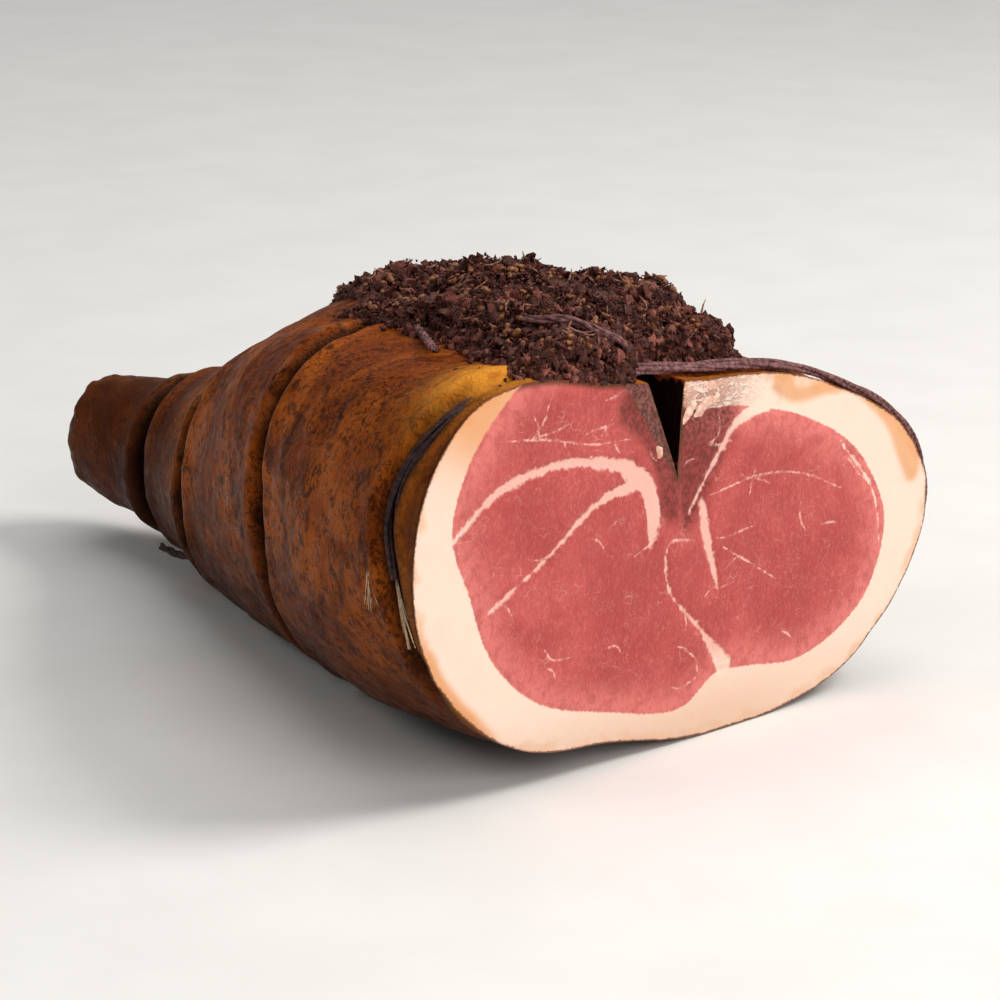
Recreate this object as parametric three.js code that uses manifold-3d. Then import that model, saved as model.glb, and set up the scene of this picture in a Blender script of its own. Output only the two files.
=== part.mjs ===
// Cured ham, tied with cord, dressed with grape pomace and cut across its thickest
// part. It lies on its belly. Millimetres: +Z is up, the cut face looks along +X,
// the shank points along -X.
import * as THREE from 'three';
import Module from 'manifold-3d';
import { mergeVertices } from 'three/addons/utils/BufferGeometryUtils.js';
import { ConvexGeometry } from 'three/addons/geometries/ConvexGeometry.js';

// ---- driving dimensions ----------------------------------------------------
const TIP_X = -192; // worn end of the shank
const CUT_X = 198; // plane of the cut face
const CUT_WIDTH = 137; // half width of the cut face
const CUT_HEIGHT = 80; // half height of the cut face

// Radius of the cut face every 30 degrees, starting at +Y and turning over the top.
const CUT_RADII = [137, 95, 69, 63, 79, 131, 136, 113, 82, 79, 92, 121];

// Sections from shank to cut: half width, half height, middle, and how round the
// section is (0 has the outline of the cut face, 1 is a plain oval).
const SECTIONS = [
  { x: -192, width: 13, height: 14, y: 10, z: 48, round: 1 },
  { x: -186, width: 22, height: 24, y: 11, z: 47, round: 1 },
  { x: -170, width: 27, height: 30, y: 12, z: 45, round: 1 },
  { x: -142, width: 31, height: 33, y: 14, z: 45, round: 1 },
  { x: -110, width: 40, height: 41, y: 16, z: 46, round: 0.9 },
  { x: -60, width: 65, height: 61, y: 18, z: 53, round: 0.8 },
  { x: 0, width: 86, height: 80, y: 12, z: 66, round: 0.65 },
  { x: 50, width: 100, height: 86, y: 7, z: 72, round: 0.5 },
  { x: 110, width: 119, height: 86, y: 1, z: 76, round: 0.35 },
  { x: 160, width: 131, height: 83, y: 0, z: 79, round: 0.14 },
  { x: 198, width: 137, height: 80, y: 0, z: 80, round: 0 },
];

// Waists where the cords pull the rind in.
const WAISTS = [
  { x: -122, depth: 3, spread: 6 },
  { x: -50, depth: 4, spread: 7 },
  { x: 58, depth: 5, spread: 8 },
];

const CORD_RADIUS = 1.7;
const CORD_SIDES = 8;
const CORD_ROOM = 0.5; // room round a cord in its groove
const STRAND_PITCH = 4.6; // between the two strands of the front tie
const NOTCH_DEPTH = 80; // drawn-bone notch, back from the cut
const POMACE_GAP = 0.4; // between the pomace and the rind
const POMACE_THICK = 21;

// ---- shape of the ham ------------------------------------------------------
const { degToRad, lerp, clamp, smoothstep } = THREE.MathUtils;
const range = (count) => Array.from({ length: count }, (_, i) => i);

// Smooth curve through rows of values, each row headed by its place.
function through(places, rows) {
  const curve = new THREE.CubicInterpolant(places, rows.flat(), rows[0].length);
  return (at) => [...curve.evaluate(clamp(at, places[0], places.at(-1)))];
}

const sectionAt = through(
  SECTIONS.map((s) => s.x),
  SECTIONS.map((s) => [s.width, s.height, s.y, s.z, s.round]),
);

const turns = range(CUT_RADII.length + 5).map((i) => 30 * (i - 2));
const cutRadiusAt = through(turns, turns.map((a) => [CUT_RADII[(a / 30 + 24) % 12]]));

// Radius of the cut face at an angle in degrees.
const cutRadius = (angle) => cutRadiusAt(((angle % 360) + 360) % 360)[0];

const waist = (x) => WAISTS.reduce((sum, w) => sum + w.depth * Math.exp(-(((x - w.x) / w.spread) ** 2)), 0);

// Point on the skin at a place along the ham and an angle round it in degrees.
function skin(x, angle) {
  const [width, height, y, z, round] = sectionAt(x);
  const a = degToRad(angle);
  const uy = lerp(cutRadius(angle) / CUT_WIDTH, 1, round) * Math.cos(a);
  const uz = lerp(cutRadius(angle) / CUT_HEIGHT, 1, round) * Math.sin(a);
  const pull = 1 - waist(x) / Math.hypot(width * uy, height * uz);
  return new THREE.Vector3(x, y + width * uy * pull, Math.max(0, z + height * uz * pull));
}

// Point lifted off the skin along its outward direction.
function lifted(x, angle, lift) {
  const along = skin(Math.min(x + 2, CUT_X), angle).sub(skin(Math.max(x - 2, TIP_X), angle));
  const round = skin(x, angle + 1).sub(skin(x, angle - 1));
  const outward = round.cross(along).normalize();
  return skin(Math.min(x, CUT_X), angle).addScaledVector(outward, lift);
}

// ---- solids ----------------------------------------------------------------
const wasm = await Module();
wasm.setup();

function toSolid(geometry) {
  const bare = geometry.clone();
  bare.deleteAttribute('normal');
  bare.deleteAttribute('uv');
  const merged = mergeVertices(bare, 1e-4);
  return new wasm.Manifold(new wasm.Mesh({
    numProp: 3,
    vertProperties: new Float32Array(merged.attributes.position.array),
    triVerts: new Uint32Array(merged.index.array),
  }));
}

function toGeometry(solid) {
  const mesh = solid.getMesh();
  const geometry = new THREE.BufferGeometry();
  const points = new Float32Array(mesh.vertProperties);
  geometry.setAttribute('position', new THREE.BufferAttribute(points, 3));
  geometry.setIndex(new THREE.BufferAttribute(new Uint32Array(mesh.triVerts), 1));
  geometry.computeVertexNormals();
  return geometry;
}

// Closed solid from rows of points; each row is a loop, and fans close the ends.
function loft(rows) {
  const count = rows[0].length;
  const points = rows.flat();
  const index = [];
  const next = (i) => (i + 1) % count;
  for (const r of range(rows.length - 1)) {
    for (const i of range(count)) {
      const a = r * count + i;
      const b = r * count + next(i);
      index.push(a, b, a + count, b, b + count, a + count);
    }
  }
  for (const [row, first] of [[0, true], [rows.length - 1, false]]) {
    const hub = points.length;
    const middle = rows[row].reduce((sum, p) => sum.add(p), new THREE.Vector3());
    points.push(middle.divideScalar(count));
    for (const i of range(count)) {
      const pair = [row * count + i, row * count + next(i)];
      index.push(hub, ...(first ? pair.reverse() : pair));
    }
  }
  const geometry = new THREE.BufferGeometry().setFromPoints(points);
  geometry.setIndex(index);
  return toSolid(geometry);
}

// Section places: even along the ham, with more of them in each waist.
function ringPlaces() {
  const even = range(27).map((i) => lerp(TIP_X, CUT_X, i / 26));
  const close = WAISTS.flatMap((w) => [-2, -1, 0, 1, 2].map((k) => w.x + 0.7 * k * w.spread));
  const nose = [TIP_X + 2, TIP_X + 6];
  const free = even.filter((x) => WAISTS.every((w) => Math.abs(x - w.x) > 2 * w.spread));
  return [...free, ...close, ...nose].sort((a, b) => a - b);
}

const blank = () => loft(ringPlaces().map((x) => range(60).map((i) => skin(x, 6 * i))));

// Notch over the meat where the bone was drawn, open at the top and at the cut.
function notch() {
  const mouth = [[-33, 175], [1, 175], [-5, 108]];
  const end = [[-26, 175], [-8, 175], [-16, 136]];
  return toSolid(new ConvexGeometry([
    ...mouth.map(([y, z]) => new THREE.Vector3(CUT_X + 1, y, z)),
    ...end.map(([y, z]) => new THREE.Vector3(CUT_X - NOTCH_DEPTH, y, z)),
  ]));
}

// Round cord along a curve: a closed loop is a tube, an open one has flat ends.
function cord(curve, radius) {
  const steps = Math.round(8 + curve.getLength() / 12);
  if (curve.closed) {
    return toSolid(new THREE.TubeGeometry(curve, steps, radius, CORD_SIDES, true));
  }
  const profile = new THREE.Shape(range(CORD_SIDES).map((i) => {
    const a = (2 * Math.PI * i) / CORD_SIDES;
    return new THREE.Vector2(radius * Math.cos(a), radius * Math.sin(a));
  }));
  return toSolid(new THREE.ExtrudeGeometry(profile, { steps, extrudePath: curve }));
}

const curve = (points, closed = false) => new THREE.CatmullRomCurve3(points, closed, 'centripetal');

// Bed of a tie in its waist, pressed into the meat where the ham rests on it.
function bedded(x, angle) {
  const point = lifted(x, angle, -0.4);
  point.z = Math.max(point.z, CORD_RADIUS + 1);
  return point;
}

const loop = (x) => curve(range(24).map((i) => bedded(x, 15 * i)), true);

// Second tie: a loop whose short stiff tail points back under the shank.
function trailingLoop(x) {
  const tail = [[-44, -29, 19], [-30, -31, 19], [-17, -35, 22], [-7, -40, 27]];
  return curve([
    ...tail.map(([dx, y, z]) => new THREE.Vector3(x + dx, y, z)),
    ...range(23).map((i) => bedded(x, 215 + 15 * i)),
  ]);
}

// Front tie: from the cut at lower left, over the top and down the right side.
const FRONT_ANGLES = [-28, 0, 30, 60, 90, 110, 128, 145, 152, 160, 168, 175, 190];
const FRONT_PLACES = [192, 193, 193, 190, 187, 185, 186, 187, 184, 179, 177, 183, 190];
const STRAND_END = 180;
const frontPlace = through(FRONT_ANGLES, FRONT_PLACES.map((x) => [x]));

function frontStrand(side) {
  return curve(range(40).map((i) => {
    const angle = lerp(STRAND_END, FRONT_ANGLES[0], i / 39);
    const lift = lerp(1.4, 0.2, smoothstep(angle, 100, 120));
    return lifted(frontPlace(angle)[0] + (side * STRAND_PITCH) / 2, angle, lift);
  }));
}

// ---- pomace ----------------------------------------------------------------
// u runs from the back of the heap to the cut, v from the far side to the near one.
function pomacePlace(u, v) {
  const back = -20 + 64 * smoothstep(v, 0.45, 1) + 5 * Math.sin(9 * v + 1) + 3 * Math.sin(23 * v);
  const front = lerp(179, 196, smoothstep(v, 0.62, 0.74));
  const near = lerp(121, 135, smoothstep(u, 0.35, 1));
  const far = lerp(58, 52, u) + 3.5 * Math.sin(13 * u + 1) + 1.8 * Math.sin(31 * u);
  return [lerp(back, front, u), lerp(far, near, v)];
}

function pomaceDepth(u, v) {
  const edge = Math.min(1, 0.9 * u + 0.02, 8 * v, 6 * (1 - v), 0.26 + 3.6 * (1 - u));
  const lumps = 0.1 * Math.sin(19 * u + 7 * v) + 0.08 * Math.sin(13 * v - 11 * u + 2);
  const crown = 0.2 * Math.exp(-((u - 0.5) ** 2 + (v - 0.5) ** 2) / 0.048);
  return 1.6 + POMACE_THICK * edge ** 0.7 * (0.95 + lumps + crown);
}

const onPomace = (u, v, lift) => lifted(...pomacePlace(u, v), POMACE_GAP + pomaceDepth(u, v) + lift);

function pomace() {
  const across = range(21).map((i) => i / 20);
  return loft(range(29).map((r) => {
    const u = r / 28;
    const under = across.map((v) => lifted(...pomacePlace(u, v), POMACE_GAP));
    const over = across.map((v) => onPomace(u, v, 0));
    return [...under.reverse(), ...over];
  }));
}

// Cord lying lengthwise on the pomace, ending on top of the front tie.
const lengthwise = () => curve([
  ...[[0.75, 0.92], [0.82, 0.9], [0.88, 0.86], [0.94, 0.81], [0.975, 0.77]].map(([u, v]) => onPomace(u, v, 1.2)),
  lifted(187, 107, 6),
]);

// Short cut end of an older tie on the near side of the pomace.
const spareEnd = () => curve([[94, 122], [106, 125.5], [118, 129], [130, 132.5]].map(([x, a]) => lifted(x, a, 2.8)));

const cords = {
  shank_tie: loop(WAISTS[0].x),
  second_tie: trailingLoop(WAISTS[1].x),
  third_tie: loop(WAISTS[2].x),
  front_tie_strand_a: frontStrand(-1),
  front_tie_strand_b: frontStrand(1),
  lengthwise_cord: lengthwise(),
  spare_cord_end: spareEnd(),
};

// ---- named pieces ----------------------------------------------------------
const CORD_BROWN = { color: 0x33221c, roughness: 0.8 };
const CORD_PURPLE = { color: 0x6c4f52, roughness: 0.8 };
const finishes = {
  ham: { color: 0x8a5a36, roughness: 0.5 },
  grape_pomace: { color: 0x3a2228, roughness: 0.75 },
  shank_tie: CORD_BROWN,
  second_tie: CORD_BROWN,
  third_tie: CORD_BROWN,
  front_tie_strand_a: CORD_PURPLE,
  front_tie_strand_b: CORD_PURPLE,
  lengthwise_cord: CORD_PURPLE,
  spare_cord_end: CORD_PURPLE,
};

const solids = { ham: blank().subtract(notch()), grape_pomace: pomace() };
for (const [name, route] of Object.entries(cords)) {
  const bed = cord(route, CORD_RADIUS + CORD_ROOM);
  solids.ham = solids.ham.subtract(bed);
  solids.grape_pomace = solids.grape_pomace.subtract(bed);
  solids[name] = cord(route, CORD_RADIUS);
}

const part = new THREE.Group();
part.name = 'cured_ham';
for (const [name, solid] of Object.entries(solids)) {
  const material = new THREE.MeshStandardMaterial({ metalness: 0, ...finishes[name] });
  const mesh = new THREE.Mesh(toGeometry(solid), material);
  mesh.name = name;
  part.add(mesh);
}

// The origin is under the middle of the whole part, on its resting plane.
const middle = new THREE.Box3().setFromObject(part).getCenter(new THREE.Vector3());
part.children.forEach((mesh) => mesh.geometry.translate(-middle.x, -middle.y, 0));

export default part;
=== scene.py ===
import logging
from dataclasses import dataclass, field
from enum import Enum
from math import cos, pi, radians, sin
from typing import Callable, Optional, Sequence, Union

import bmesh
import bpy
import numpy as np
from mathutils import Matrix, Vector
from mathutils.geometry import delaunay_2d_cdt


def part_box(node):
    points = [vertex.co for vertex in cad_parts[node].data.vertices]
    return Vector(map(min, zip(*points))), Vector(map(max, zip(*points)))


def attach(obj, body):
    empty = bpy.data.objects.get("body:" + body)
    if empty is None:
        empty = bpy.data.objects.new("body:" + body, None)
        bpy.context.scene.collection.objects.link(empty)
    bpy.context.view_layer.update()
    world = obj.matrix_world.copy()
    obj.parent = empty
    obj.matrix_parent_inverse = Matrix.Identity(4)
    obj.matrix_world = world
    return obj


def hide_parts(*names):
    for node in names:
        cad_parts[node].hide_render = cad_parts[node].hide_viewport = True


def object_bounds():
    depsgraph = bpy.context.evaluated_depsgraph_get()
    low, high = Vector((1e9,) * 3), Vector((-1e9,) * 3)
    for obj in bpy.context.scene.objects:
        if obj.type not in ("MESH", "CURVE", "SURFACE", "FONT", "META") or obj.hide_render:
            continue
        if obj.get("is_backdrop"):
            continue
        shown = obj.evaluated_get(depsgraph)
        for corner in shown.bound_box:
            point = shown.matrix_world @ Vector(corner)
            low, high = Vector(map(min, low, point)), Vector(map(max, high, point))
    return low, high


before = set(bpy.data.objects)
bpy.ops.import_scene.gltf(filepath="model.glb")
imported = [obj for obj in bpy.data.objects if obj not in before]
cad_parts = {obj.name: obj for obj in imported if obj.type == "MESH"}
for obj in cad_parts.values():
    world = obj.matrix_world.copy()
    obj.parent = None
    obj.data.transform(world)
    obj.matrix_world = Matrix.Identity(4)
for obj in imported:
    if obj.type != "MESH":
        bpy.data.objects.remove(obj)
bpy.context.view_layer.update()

log = logging.getLogger("cured_ham")

MM = 0.001
Array = np.ndarray
Socket = bpy.types.NodeSocket
Input = Union[float, Socket]
Colour = Union[tuple, Socket]


# ---- curves, noise and meshes ----------------------------------------------
def through(places: Sequence[float], rows: Sequence) -> Callable[[Array], Array]:
    """Makes a smooth curve through rows of values.

    Args:
        places: Rising places along the curve.
        rows: The values at each place, one number or one row each.

    Returns:
        A function that gives the values at any place.
    """
    t = np.asarray(places, float)
    v = np.asarray(rows, float).reshape(len(t), -1)

    def at(place: Array) -> Array:
        """Gives the curve's values at a place.

        Args:
            place: Places along the curve.

        Returns:
            One row of values for each place.
        """
        x = np.clip(np.asarray(place, float), t[0], t[-1])
        i1 = np.clip(np.searchsorted(t, x, side="right"), 1, len(t) - 1)
        i0 = i1 - 1
        before = np.where(i0 > 0, i0 - 1, i1)
        after = np.where(i1 < len(t) - 1, i1 + 1, i0)
        half = (t[i1] - t[i0]) / 2
        wp = half / (t[i0] - t[before])
        wn = half / (t[after] - t[i1])
        p = (x - t[i0]) / (t[i1] - t[i0])
        s = (
            -wp * p**3 + 2 * wp * p**2 - wp * p,
            (1 + wp) * p**3 - (1.5 + 2 * wp) * p**2 + (wp - 0.5) * p + 1,
            -(1 + wn) * p**3 + (1.5 + wn) * p**2 + 0.5 * p,
            wn * p**3 - wn * p**2,
        )
        return sum(w[..., None] * v[i] for w, i in zip(s, (before, i0, i1, after)))

    return at


def smooth_line(points: Sequence, step: float, closed: bool = False) -> Array:
    """Runs a smooth line through points.

    Args:
        points: The points, each a row of numbers.
        step: Distance between the points of the line.
        closed: Whether the line joins up with its start.

    Returns:
        The points of the smooth line.
    """
    p = np.asarray(points, float)
    if closed:
        p = np.vstack([p[-2:], p, p[:3]])
    reach = np.r_[0, np.cumsum(np.linalg.norm(np.diff(p[:, :3], axis=0), axis=1))]
    first, last = (reach[2], reach[-3]) if closed else (0, reach[-1])
    count = max(2, int((last - first) / step) + 1)
    return through(reach, p)(np.linspace(first, last, count, endpoint=not closed))


def ramp(x: Array, low: float, high: float) -> Array:
    """Rises smoothly from 0 at low to 1 at high."""
    t = np.clip((x - low) / (high - low), 0, 1)
    return t * t * (3 - 2 * t)


def bell(x: Array, width: float) -> Array:
    """Gives a bell curve that is 1 at 0."""
    return np.exp(-((x / width) ** 2))


def grain(points: Array, size: float, octaves: int = 2, seed: int = 0) -> Array:
    """Gives smooth random values between about -1 and 1.

    Args:
        points: Places in millimetres, three numbers in the last axis.
        size: Size of the largest lumps in millimetres.
        octaves: How many finer layers are added up.
        seed: Picks the pattern.

    Returns:
        One value for each place.
    """
    total = np.zeros(points.shape[:-1])
    for layer in range(octaves):
        q = points / size * 2**layer + 31.7 * layer
        base = np.floor(q).astype(np.int64)
        f = q - base
        f = f * f * (3 - 2 * f)
        value = np.zeros(points.shape[:-1])
        for corner in range(8):
            off = np.array([corner & 1, corner >> 1 & 1, corner >> 2])
            c = base + off
            h = c[..., 0] * 374761393 + c[..., 1] * 668265263 + c[..., 2] * 1440670441 + seed * 974711
            h = (h ^ (h >> 13)) * 1274126177 & 0xFFFFFFFF
            h = (h ^ (h >> 16)) & 0xFFFF
            weight = np.prod(np.where(off == 1, f, 1 - f), axis=-1)
            value += weight * (h / 32767.5 - 1)
        total += value / 2**layer
    return total


@dataclass
class Shell:
    """Points in millimetres and the faces between them, with named values per point."""

    points: Array
    faces: list
    values: dict = field(default_factory=dict)
    finish_of: Optional[Sequence[int]] = None

    @staticmethod
    def joined(shells: Sequence["Shell"]) -> "Shell":
        """Puts several shells into one.

        Args:
            shells: The shells, all with the same named values.

        Returns:
            One shell with all their points and faces.
        """
        faces, finish, start = [], [], 0
        for shell in shells:
            faces.extend([tuple(i + start for i in face) for face in shell.faces])
            finish.extend(shell.finish_of if shell.finish_of is not None else [0] * len(shell.faces))
            start += len(shell.points)
        values = {k: np.concatenate([s.values[k] for s in shells]) for k in shells[0].values}
        return Shell(np.vstack([s.points for s in shells]), faces, values, finish)

    def object(self, name: str, origin: Array, sharp: float = 60) -> bpy.types.Object:
        """Makes the shell an object in the scene.

        Args:
            name: The object's name.
            origin: Where the working frame's zero lies in the row frame, in millimetres.
            sharp: Edges sharper than this many degrees stay crisp.

        Returns:
            The new object.
        """
        mesh = bpy.data.meshes.new(name)
        mesh.from_pydata(((self.points + origin) * MM).tolist(), [], self.faces)
        for key, value in self.values.items():
            mesh.attributes.new(key, "FLOAT", "POINT").data.foreach_set("value", value.astype(np.float32))
        if self.finish_of is not None:
            mesh.polygons.foreach_set("material_index", np.asarray(self.finish_of, np.int32))
        mesh.validate()
        mesh.shade_smooth()
        mesh.set_sharp_from_angle(angle=radians(sharp))
        obj = bpy.data.objects.new(name, mesh)
        bpy.context.scene.collection.objects.link(obj)
        return obj


def tube(route: Array, radius: Array, sides: int = 6, twist: float = 0.0) -> Shell:
    """Makes a closed round bar along a route.

    Args:
        route: Points along the middle.
        radius: Radius at each point, or one for all.
        sides: Points round each section.
        twist: Turns each section by this much more, in radians.

    Returns:
        The bar.
    """
    count = len(route)
    along = np.gradient(route, axis=0)
    along /= np.linalg.norm(along, axis=1)[:, None]
    side = np.cross(along[0], (0.3, 0.2, 0.93))
    frames = []
    for t in along:
        side = side - t * side.dot(t)
        side /= np.linalg.norm(side)
        frames.append((side, np.cross(t, side)))
    sides_of = np.array(frames)
    turn = np.linspace(0, 2 * pi, sides, endpoint=False)[None] + twist * np.arange(count)[:, None]
    ring = np.cos(turn)[..., None] * sides_of[:, :1] + np.sin(turn)[..., None] * sides_of[:, 1:]
    size = np.broadcast_to(radius, (count,))[:, None, None]
    points = (route[:, None] + ring * size).reshape(-1, 3)
    faces = [
        (r * sides + i, r * sides + (i + 1) % sides, (r + 1) * sides + (i + 1) % sides, (r + 1) * sides + i)
        for r in range(count - 1)
        for i in range(sides)
    ]
    faces += [tuple(range(sides))[::-1], tuple((count - 1) * sides + i for i in range(sides))]
    return Shell(points, faces)


# ---- finishes --------------------------------------------------------------
class Node:
    """Short way to write a shader as sums of nodes."""

    def __init__(self, name: str):
        """Starts an empty material.

        Args:
            name: Name of the material.
        """
        self.material = bpy.data.materials.new(name)
        self.material.use_nodes = True
        self.tree = self.material.node_tree
        self.shader = self.tree.nodes["Principled BSDF"]

    def add(self, kind: str, inputs: Optional[dict] = None, **settings) -> bpy.types.Node:
        """Adds a node.

        Args:
            kind: The node type, without its ShaderNode prefix.
            inputs: Values or sockets for its inputs, by name or number.
            **settings: Properties of the node.

        Returns:
            The node.
        """
        node = self.tree.nodes.new("ShaderNode" + kind)
        for key, value in settings.items():
            setattr(node, key, value)
        for key, value in (inputs or {}).items():
            self.put(node.inputs[key], value)
        return node

    def put(self, socket: Socket, value: Union[float, tuple, Socket]) -> None:
        """Gives an input a value, or links it to a socket.

        Args:
            socket: The input.
            value: A number, a colour or a socket.
        """
        if isinstance(value, bpy.types.NodeSocket):
            self.tree.links.new(value, socket)
        else:
            socket.default_value = value

    def spot(self, scale: tuple = (1, 1, 1)) -> Socket:
        """Gives the place on the piece in millimetres, stretched by scale.

        Args:
            scale: How much each direction is stretched.

        Returns:
            The place.
        """
        place = self.add("TexCoord").outputs["Object"]
        stretch = tuple(1000 * s for s in scale)
        return self.add("Mapping", {"Vector": place, "Scale": stretch}).outputs[0]

    def noise(self, size: float, detail: float = 3, scale: tuple = (1, 1, 1), bend: float = 0) -> Socket:
        """Gives noise from 0 to 1 with lumps of a size in millimetres.

        Args:
            size: Size of the lumps.
            detail: How many finer layers are added.
            scale: How much each direction is stretched.
            bend: How far the lumps are pulled about.

        Returns:
            The noise.
        """
        settings = {"Vector": self.spot(scale), "Scale": 1 / size, "Detail": detail, "Distortion": bend}
        return self.add("TexNoise", settings).outputs[0]

    def value(self, name: str) -> Socket:
        """Gives a named value stored on the mesh."""
        return self.add("Attribute", attribute_name=name).outputs["Fac"]

    def math(self, how: str, a: Input, b: Input = 0.0) -> Socket:
        """Does one sum on two values."""
        return self.add("Math", {0: a, 1: b}, operation=how).outputs[0]

    def step(self, value: Input, low: float, high: float, out: tuple = (0, 1)) -> Socket:
        """Maps a value from low..high to out, smoothly and clamped.

        Args:
            value: What to map.
            low: Where it starts.
            high: Where it ends.
            out: What it maps to.

        Returns:
            The mapped value.
        """
        inputs = {"Value": value, "From Min": low, "From Max": high, "To Min": out[0], "To Max": out[1]}
        return self.add("MapRange", inputs, interpolation_type="SMOOTHSTEP").outputs[0]

    def mix(self, amount: Input, a: Colour, b: Colour, how: str = "MIX") -> Socket:
        """Mixes two colours.

        Args:
            amount: How much of b shows.
            a: The colour below, as RGB or a socket.
            b: The colour on top.
            how: The blend type.

        Returns:
            The mixed colour.
        """
        node = self.add("Mix", data_type="RGBA", blend_type=how)
        self.put(node.inputs[0], amount)
        self.put(node.inputs[6], (*a, 1) if isinstance(a, tuple) else a)
        self.put(node.inputs[7], (*b, 1) if isinstance(b, tuple) else b)
        return node.outputs[2]

    def bumps(self, layers: Sequence[tuple]) -> None:
        """Stacks bump layers, each a height socket and its depth in millimetres.

        Args:
            layers: Height sockets and depths.
        """
        normal = None
        for height, depth in layers:
            inputs = {"Height": height, "Distance": depth * MM, "Strength": 1.0}
            if normal is not None:
                inputs["Normal"] = normal
            normal = self.add("Bump", inputs).outputs[0]
        self.put(self.shader.inputs["Normal"], normal)

    def finish(self, colour: Colour, roughness: Input, soft: float = 0, gloss: float = 0.5,
               sheen: tuple = (1, 1, 1)) -> bpy.types.Material:
        """Sets the shader's main inputs.

        Args:
            colour: RGB or a socket.
            roughness: A number or a socket.
            soft: How far light soaks in, in millimetres.
            gloss: Specular level.
            sheen: Colour of the highlights.

        Returns:
            The material.
        """
        self.put(self.shader.inputs["Base Color"], (*colour, 1) if isinstance(colour, tuple) else colour)
        self.put(self.shader.inputs["Roughness"], roughness)
        self.shader.inputs["Specular IOR Level"].default_value = gloss
        self.shader.inputs["Specular Tint"].default_value = (*sheen, 1)
        if soft:
            self.shader.inputs["Subsurface Weight"].default_value = 0.35
            self.shader.inputs["Subsurface Radius"].default_value = (1.0, 0.35, 0.25)
            self.shader.inputs["Subsurface Scale"].default_value = soft * MM
        return self.material


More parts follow.
